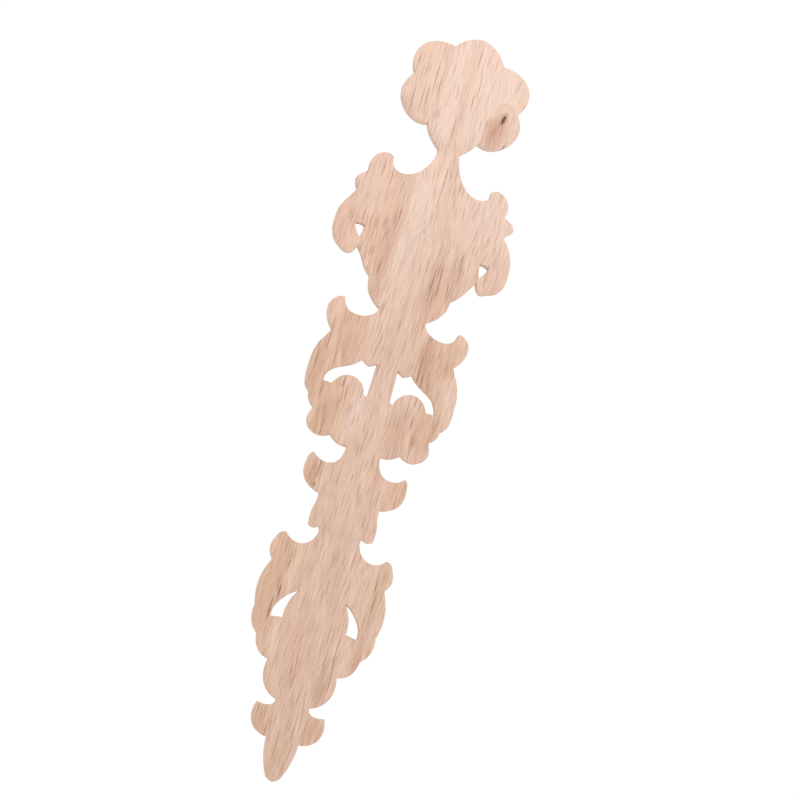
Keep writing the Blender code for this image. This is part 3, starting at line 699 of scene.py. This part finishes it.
def step_up(tree, value, low, high, to_low=0.0, to_high=1.0):
    """Goes softly from one amount to the other while the value goes from low to high."""
    limits = {"Value": value, "From Min": low, "From Max": high, "To Min": to_low, "To Max": to_high}
    return put(tree, "ShaderNodeMapRange", limits, interpolation_type="SMOOTHSTEP").outputs["Result"]


def tinted(tree, amount, under, over):
    """One colour laid over another by an amount."""
    return put(tree, "ShaderNodeMix", {0: amount, 6: under, 7: over}, data_type="RGBA").outputs[2]


def streaky_group():
    """Noise drawn out along the grain: streaks Wide across and Long along it."""
    group, ins, outs = new_group("streaks", (("Place", "NodeSocketVector"), ("Wide", "NodeSocketFloat"),
                                             ("Long", "NodeSocketFloat"), ("Detail", "NodeSocketFloat")),
                                 (("Amount", "NodeSocketFloat"),))
    parts = put(group, "ShaderNodeSeparateXYZ", {0: ins.outputs["Place"]})
    x = calc(group, "DIVIDE", parts.outputs[0], ins.outputs["Wide"])
    y = calc(group, "DIVIDE", parts.outputs[1], ins.outputs["Wide"])
    z = calc(group, "DIVIDE", parts.outputs[2], ins.outputs["Long"])
    drawn = put(group, "ShaderNodeCombineXYZ", {0: x, 1: y, 2: z})
    noise = put(group, "ShaderNodeTexNoise", {"Vector": drawn.outputs[0], "Scale": 1.0,
                                              "Detail": ins.outputs["Detail"], "Roughness": 0.6})
    group.links.new(noise.outputs["Fac"], outs.inputs["Amount"])
    return group


def pore_group():
    """Open pores cut lengthwise: short dark dashes, one in some share of the Wide by Long cells."""
    group, ins, outs = new_group("pores", (("Place", "NodeSocketVector"), ("Wide", "NodeSocketFloat"),
                                           ("Long", "NodeSocketFloat"), ("Reach", "NodeSocketFloat"),
                                           ("Share", "NodeSocketFloat")),
                                 (("Mask", "NodeSocketFloat"),))
    parts = put(group, "ShaderNodeSeparateXYZ", {0: ins.outputs["Place"]})
    # a pore seen deeper in the board lies a little to the side
    across = calc(group, "MULTIPLY_ADD", parts.outputs[1], 0.25, parts.outputs[0])
    up = calc(group, "DIVIDE", parts.outputs[2], ins.outputs["Long"])
    side = calc(group, "DIVIDE", across, ins.outputs["Wide"])
    drawn = put(group, "ShaderNodeCombineXYZ", {0: side, 1: up})
    cells = put(group, "ShaderNodeTexVoronoi", {"Vector": drawn.outputs[0], "Scale": 1.0, "Randomness": 1.0},
                voronoi_dimensions="2D")
    body = step_up(group, cells.outputs["Distance"], 0.05, ins.outputs["Reach"], 1.0, 0.0)
    chance = put(group, "ShaderNodeSeparateColor", {0: cells.outputs["Color"]})
    open_here = step_up(group, calc(group, "SUBTRACT", ins.outputs["Share"], chance.outputs[0]), 0.0, 0.12)
    depth = calc(group, "MULTIPLY_ADD", chance.outputs[1], 0.65, 0.35)
    mask = calc(group, "MULTIPLY", calc(group, "MULTIPLY", body, open_here), depth)
    group.links.new(mask, outs.inputs["Mask"])
    return group


def mark_group():
    """A soft oval mark along the grain: 1 at its middle, 0 outside its half width and half length."""
    labels = ("Across", "Up", "Middle", "Height", "Half Width", "Half Length")
    group, ins, outs = new_group("mark", [(label, "NodeSocketFloat") for label in labels],
                                 (("Mask", "NodeSocketFloat"),))
    across, up, middle, height, half_width, half_length = [ins.outputs[label] for label in labels]
    side = calc(group, "DIVIDE", calc(group, "SUBTRACT", across, middle), half_width)
    down = calc(group, "DIVIDE", calc(group, "SUBTRACT", up, height), half_length)
    gap = calc(group, "ADD", calc(group, "MULTIPLY", side, side), calc(group, "MULTIPLY", down, down))
    group.links.new(step_up(group, gap, 1.0, 0.0), outs.inputs["Mask"])
    return group


def rubberwood(name):
    """Raw jointed rubberwood in the piece's own coordinates."""
    material = bpy.data.materials.new(name)
    material.use_nodes = True
    tree = material.node_tree
    shader = tree.nodes["Principled BSDF"]
    groups = {"streaks": streaky_group(), "pores": pore_group(), "mark": mark_group()}

    def grouped(kind, *values):
        """Places one of the groups and fills its inputs in their order."""
        node = put(tree, "ShaderNodeGroup", node_tree=groups[kind])
        fill(tree, node.inputs, values)
        return node.outputs[0]

    def grain(kind, place):
        """One of the streaky patterns."""
        return grouped("streaks", place, *GRAIN[kind])

    def laid(under, mask, amount, over):
        """One colour laid over another where the mask is, at most by the amount."""
        return tinted(tree, calc(tree, "MULTIPLY", mask, amount), under, over)

    where = put(tree, "ShaderNodeTexCoord").outputs["Object"]
    in_mm = put(tree, "ShaderNodeMapping", {"Vector": where, "Scale": (1 / MM, 1 / MM, 1 / MM)}).outputs[0]
    x, y, z = put(tree, "ShaderNodeSeparateXYZ", {0: in_mm}).outputs

    # which stave: the first lies beyond the first glue line, the last beyond the second
    last_edge = STAVE_EDGE - STAVE_WIDTH
    lined = calc(tree, "MULTIPLY_ADD", z, GRAIN_LEAN, x)
    first = step_up(tree, lined, STAVE_EDGE - GLUE_WIDTH, STAVE_EDGE + GLUE_WIDTH)
    last = step_up(tree, lined, last_edge + GLUE_WIDTH, last_edge - GLUE_WIDTH)
    middle = calc(tree, "SUBTRACT", calc(tree, "SUBTRACT", 1.0, first), last)
    saw = calc(tree, "PINGPONG", calc(tree, "SUBTRACT", x, FINGER_TIP), FINGER_PITCH / 2)
    tooth = calc(tree, "MULTIPLY_ADD", saw, FINGER_LENGTH / (FINGER_PITCH / 2), FINGER_HEIGHT)
    below = step_up(tree, calc(tree, "SUBTRACT", z, tooth), 0.6, -0.6)
    lower_middle = calc(tree, "MULTIPLY", middle, below)
    upper_middle = calc(tree, "SUBTRACT", middle, lower_middle)
    # each stave has a number of its own: 3, 5 and 7, and 0 for the upper middle one
    stave = calc(tree, "MULTIPLY_ADD", first, 3.0, calc(tree, "MULTIPLY", last, 7.0))
    stave = calc(tree, "MULTIPLY_ADD", lower_middle, 5.0, stave)

    # the grain leans a little, wanders, and bends round the knot
    bend = grouped("mark", x, z, *KNOT, *BEND)
    aside = calc(tree, "SIGN", calc(tree, "SUBTRACT", x, KNOT[0]))
    push = calc(tree, "MULTIPLY", calc(tree, "MULTIPLY", bend, aside), BEND_PUSH)
    shift = calc(tree, "ADD", calc(tree, "MULTIPLY_ADD", grain("wander", in_mm), 9.0, lined), push)
    shift = calc(tree, "MULTIPLY_ADD", calc(tree, "MULTIPLY", upper_middle, z), -UPPER_SLANT, shift)
    along_grain = put(tree, "ShaderNodeCombineXYZ", {
        0: shift, 1: calc(tree, "MULTIPLY_ADD", stave, STAVE_APART[0], y),
        2: calc(tree, "MULTIPLY_ADD", stave, STAVE_APART[1], z)}).outputs[0]

    # broad tones: cloudy over the board, then stave by stave, then the patches with ragged sides and ends
    cloud = step_up(tree, grain("cloud", along_grain), 0.32, 0.68)
    colour = tinted(tree, cloud, PALE, ROSE)
    colour = laid(colour, first, step_up(tree, z, 40.0, 150.0, 0.45, 0.75), FIRST_STAVE)
    colour = laid(colour, last, 0.20, TONES["sandy"][0])
    colour = laid(colour, lower_middle, 0.22, TONES["greyish"][0])
    ragged = calc(tree, "MULTIPLY_ADD", grain("patch sides", along_grain), 5.0,
                  calc(tree, "SUBTRACT", lined, 2.5))
    frayed = calc(tree, "MULTIPLY_ADD", grain("patch ends", along_grain), 70.0,
                  calc(tree, "SUBTRACT", z, 35.0))
    crowd = step_up(tree, grain("pore crowds", along_grain), 0.34, 0.70, 0.0, 0.75)
    for x_mark, z_mark, half_width, half_length, tone, amount in PATCHES:
        patch = grouped("mark", ragged, frayed, x_mark + GRAIN_LEAN * z_mark, z_mark,
                        half_width * PATCH_SPREAD, half_length * PATCH_SPREAD)
        hue, pored = TONES[tone]
        colour = laid(colour, patch, min(1.0, amount * PATCH_STRENGTH), hue)
        crowd = calc(tree, "MULTIPLY_ADD", patch, pored * amount, crowd)
    crowd = calc(tree, "SUBTRACT", crowd, step_up(tree, z, 195.0, 235.0, 0.0, 0.22))

    # bands and fibres, and painted light: the colour grows paler with height towards the flower, standing in
    # for light that falls from above
    bands = step_up(tree, grain("bands", along_grain), 0.34, 0.68)
    narrow = step_up(tree, grain("narrow bands", along_grain), 0.32, 0.70)
    fibres = grain("fibres", along_grain)
    colour = laid(colour, bands, 0.34, TAN)
    colour = laid(colour, narrow, 0.24, FIBRE)
    colour = tinted(tree, step_up(tree, fibres, 0.38, 0.64, 0.0, 0.46), colour, FIBRE)
    # painted light: the board is made paler towards the top, as if the top were lit more from above
    colour = tinted(tree, step_up(tree, z, -20.0, 260.0, 0.0, 0.34), colour, BLEACHED_AND_PAINTED_LIGHT)

    # pores, more of them in some bands, and the long single streaks
    coarse = grouped("pores", along_grain, *PORES["coarse"], calc(tree, "SUBTRACT", crowd, 0.02))
    fine = grouped("pores", along_grain, *PORES["fine"], calc(tree, "MULTIPLY_ADD", crowd, 0.75, 0.38))
    speckle = put(tree, "ShaderNodeTexNoise", {"Vector": in_mm, "Scale": 0.8, "Detail": 1.0}).outputs["Fac"]
    colour = laid(colour, coarse, 0.90, DEEP_PORE)
    colour = laid(colour, fine, 0.82, PORE)
    colour = tinted(tree, step_up(tree, speckle, 0.35, 0.70, 0.0, 0.10), colour, PORE)
    broken = step_up(tree, grain("streak breaks", along_grain), 0.34, 0.56, 0.25, 1.0)
    streaked = 0.0
    for x_mark, top, bottom, half_width, depth in STREAKS:
        z_mark = (top + bottom) / 2
        line = grouped("mark", lined, z, x_mark + GRAIN_LEAN * z_mark, z_mark, half_width, (top - bottom) / 2)
        streaked = calc(tree, "MAXIMUM", calc(tree, "MULTIPLY", line, depth), streaked)
    streaked = calc(tree, "MULTIPLY", streaked, broken)
    colour = laid(colour, streaked, 0.90, DEEP_PORE)

    # thin glue lines between staves
    for edge in (STAVE_EDGE, last_edge):
        off = calc(tree, "ABSOLUTE", calc(tree, "SUBTRACT", lined, edge))
        colour = tinted(tree, step_up(tree, off, 0.0, GLUE_LINE, 0.22, 0.0), colour, PORE)
    off = calc(tree, "ABSOLUTE", calc(tree, "SUBTRACT", z, tooth))
    colour = laid(colour, step_up(tree, off, 0.3, 1.8, 0.10, 0.0), middle, PORE)

    # the knot: a dark heart over a brown fan of grain that trails down, and a ring of bent grain over it
    above_knot = calc(tree, "SUBTRACT", z, KNOT[1])
    marks = {}
    for label, (lean, over, up, half_width, half_length) in KNOT_MARKS.items():
        leaning = calc(tree, "MULTIPLY_ADD", above_knot, lean, x)
        marks[label] = grouped("mark", leaning, z, KNOT[0] + over, KNOT[1] + up, half_width, half_length)
    patchy = step_up(tree, grain("knot grain", along_grain), 0.3, 0.7, 0.45, 1.0)
    ring = marks["ring"]
    arc = calc(tree, "MULTIPLY", step_up(tree, ring, 0.0, 0.4), step_up(tree, ring, 0.9, 0.4))
    arc = calc(tree, "MULTIPLY", arc, step_up(tree, above_knot, -4.0, 6.0))
    colour = laid(colour, calc(tree, "MULTIPLY", marks["fan"], patchy), 0.80, BROWN)
    colour = laid(colour, arc, 0.24, BROWN)
    colour = laid(colour, calc(tree, "MULTIPLY", marks["trail"], patchy), 0.42, PORE)
    colour = laid(colour, marks["rust"], 0.55, PORE)
    colour = tinted(tree, step_up(tree, marks["heart"], 0.0, 0.55, 0.0, 0.96), colour, HEARTWOOD)

    # sawn edges show end grain: greyer, duller, with the saw's fine lines across the thickness
    normal = put(tree, "ShaderNodeNewGeometry").outputs["True Normal"]
    facing = put(tree, "ShaderNodeSeparateXYZ", {0: normal})
    sawn = step_up(tree, calc(tree, "ABSOLUTE", facing.outputs[1]), 0.35, 0.08)
    colour = laid(colour, sawn, 0.60, END_GRAIN)
    tree.links.new(colour, shader.inputs["Base Color"])
    shader.inputs["Metallic"].default_value = 0.0
    shader.inputs["Specular IOR Level"].default_value = 0.3
    dull = calc(tree, "MULTIPLY_ADD", sawn, 0.12, calc(tree, "MULTIPLY_ADD", fibres, 0.14, 0.58))
    tree.links.new(dull, shader.inputs["Roughness"])

    # relief of the surface itself: fibres, open pores, saw lines on the edges and gouge marks on the front
    saw_lines = put(tree, "ShaderNodeTexNoise", {
        "Vector": put(tree, "ShaderNodeMapping", {"Vector": in_mm, "Scale": (2.4, 0.12, 2.4)}).outputs[0],
        "Scale": 1.0, "Detail": 2.0}).outputs["Fac"]
    gouge = put(tree, "ShaderNodeTexVoronoi", {
        "Vector": put(tree, "ShaderNodeMapping", {"Vector": in_mm, "Scale": (0.22, 0.22, 0.10)}).outputs[0],
        "Scale": 1.0, "Smoothness": 0.6}, feature="SMOOTH_F1").outputs["Distance"]
    saw_lines = calc(tree, "MULTIPLY", saw_lines, sawn)
    gouge = calc(tree, "MULTIPLY", gouge, step_up(tree, y, *FRONT))
    height = calc(tree, "MULTIPLY", fibres, 0.05)
    for mark, lift in ((coarse, -0.10), (fine, -0.05), (streaked, -0.12), (saw_lines, 0.16), (gouge, 0.22)):
        height = calc(tree, "MULTIPLY_ADD", mark, lift, height)
    bump = put(tree, "ShaderNodeBump", {"Height": height, "Strength": 0.7, "Distance": MM})
    tree.links.new(bump.outputs[0], shader.inputs["Normal"])
    return material


applique.data.materials.append(rubberwood("raw_rubberwood"))
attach(applique, "root")
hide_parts("carved_applique")

# The studio floor: one round sheet of pale matt paper, flat and plain. It lies well below the piece, which
# hangs free over it.
FLOOR_HEIGHT = -0.80
FLOOR_RADIUS = 2.0
FLOOR_SIDES = 160
PAPER = (0.90, 0.90, 0.89, 1.0)
ground = bmesh.new()
bmesh.ops.create_circle(ground, cap_ends=True, segments=FLOOR_SIDES, radius=FLOOR_RADIUS)
bmesh.ops.translate(ground, verts=ground.verts, vec=(0.0, 0.0, FLOOR_HEIGHT))
floor_mesh = bpy.data.meshes.new("floor")
ground.to_mesh(floor_mesh)
ground.free()
floor = bpy.data.objects.new("floor", floor_mesh)
bpy.context.scene.collection.objects.link(floor)
paper = bpy.data.materials.new("pale_paper")
paper.use_nodes = True
paper.node_tree.nodes["Principled BSDF"].inputs["Base Color"].default_value = PAPER
paper.node_tree.nodes["Principled BSDF"].inputs["Roughness"].default_value = 0.9
floor_mesh.materials.append(paper)

# The light: a white room that lights the piece from all round, and three soft boxes. Two stand on the side
# of the flat back, one high and one low, and the third stands high in front of the carving.
ROOM_LIGHT = 0.79
BACKDROP_EXTRA = 0.23    # how much brighter the room looks than it shines
world = bpy.data.worlds.new("white_room")
bpy.context.scene.world = world
world.use_nodes = True
room = world.node_tree
seen = put(room, "ShaderNodeLightPath").outputs["Is Camera Ray"]
background = room.nodes["Background"]
background.inputs["Color"].default_value = (1.0, 1.0, 1.0, 1.0)
room.links.new(calc(room, "MULTIPLY_ADD", seen, BACKDROP_EXTRA, ROOM_LIGHT), background.inputs["Strength"])
bpy.context.scene.view_settings.view_transform = "Standard"


def soft_box(name, place, target, size, power, tint):
    """A rectangular lamp that faces its target; sizes in metres, power in watts."""
    light = bpy.data.lights.new(name, "AREA")
    light.shape = "RECTANGLE"
    light.size, light.size_y = size
    light.energy = power
    light.color = tint
    holder = bpy.data.objects.new(name, light)
    holder.location = place
    holder.rotation_euler = (Vector(target) - Vector(place)).to_track_quat("-Z", "Y").to_euler()
    bpy.context.scene.collection.objects.link(holder)


soft_box("box_behind", place=(0.15, 0.85, 0.85), target=(0.0, 0.0, 0.20), size=(0.7, 0.5), power=4.4,
         tint=(1.0, 0.995, 0.99))
soft_box("box_low", place=(0.75, 1.1, -0.75), target=(0.0, 0.0, -0.05), size=(0.6, 0.6), power=0.9,
         tint=(1.0, 0.99, 0.97))
soft_box("box_in_front", place=(-0.95, -0.75, 0.95), target=(0.0, 0.0, 0.0), size=(0.35, 0.35), power=11.0,
         tint=(1.0, 0.99, 0.97))

# The camera looks at the flat back from a little below and to one side, rolled so that the drop leans.
LENS = 67.5              # mm, on a sensor 36 mm wide
SENSOR_WIDTH = 36.0
CAMERA_PLACE = (0.20976, 1.10016, -0.22029)
CAMERA_TURN = (101.446, -15.468, 165.343)    # degrees
camera_data = bpy.data.cameras.new("camera")
camera_data.lens = LENS
camera_data.sensor_width = SENSOR_WIDTH
camera_data.clip_start = 0.01
camera = bpy.data.objects.new("camera", camera_data)
camera.location = CAMERA_PLACE
camera.rotation_euler = tuple(math.radians(angle) for angle in CAMERA_TURN)
bpy.context.scene.collection.objects.link(camera)
bpy.context.scene.camera = camera
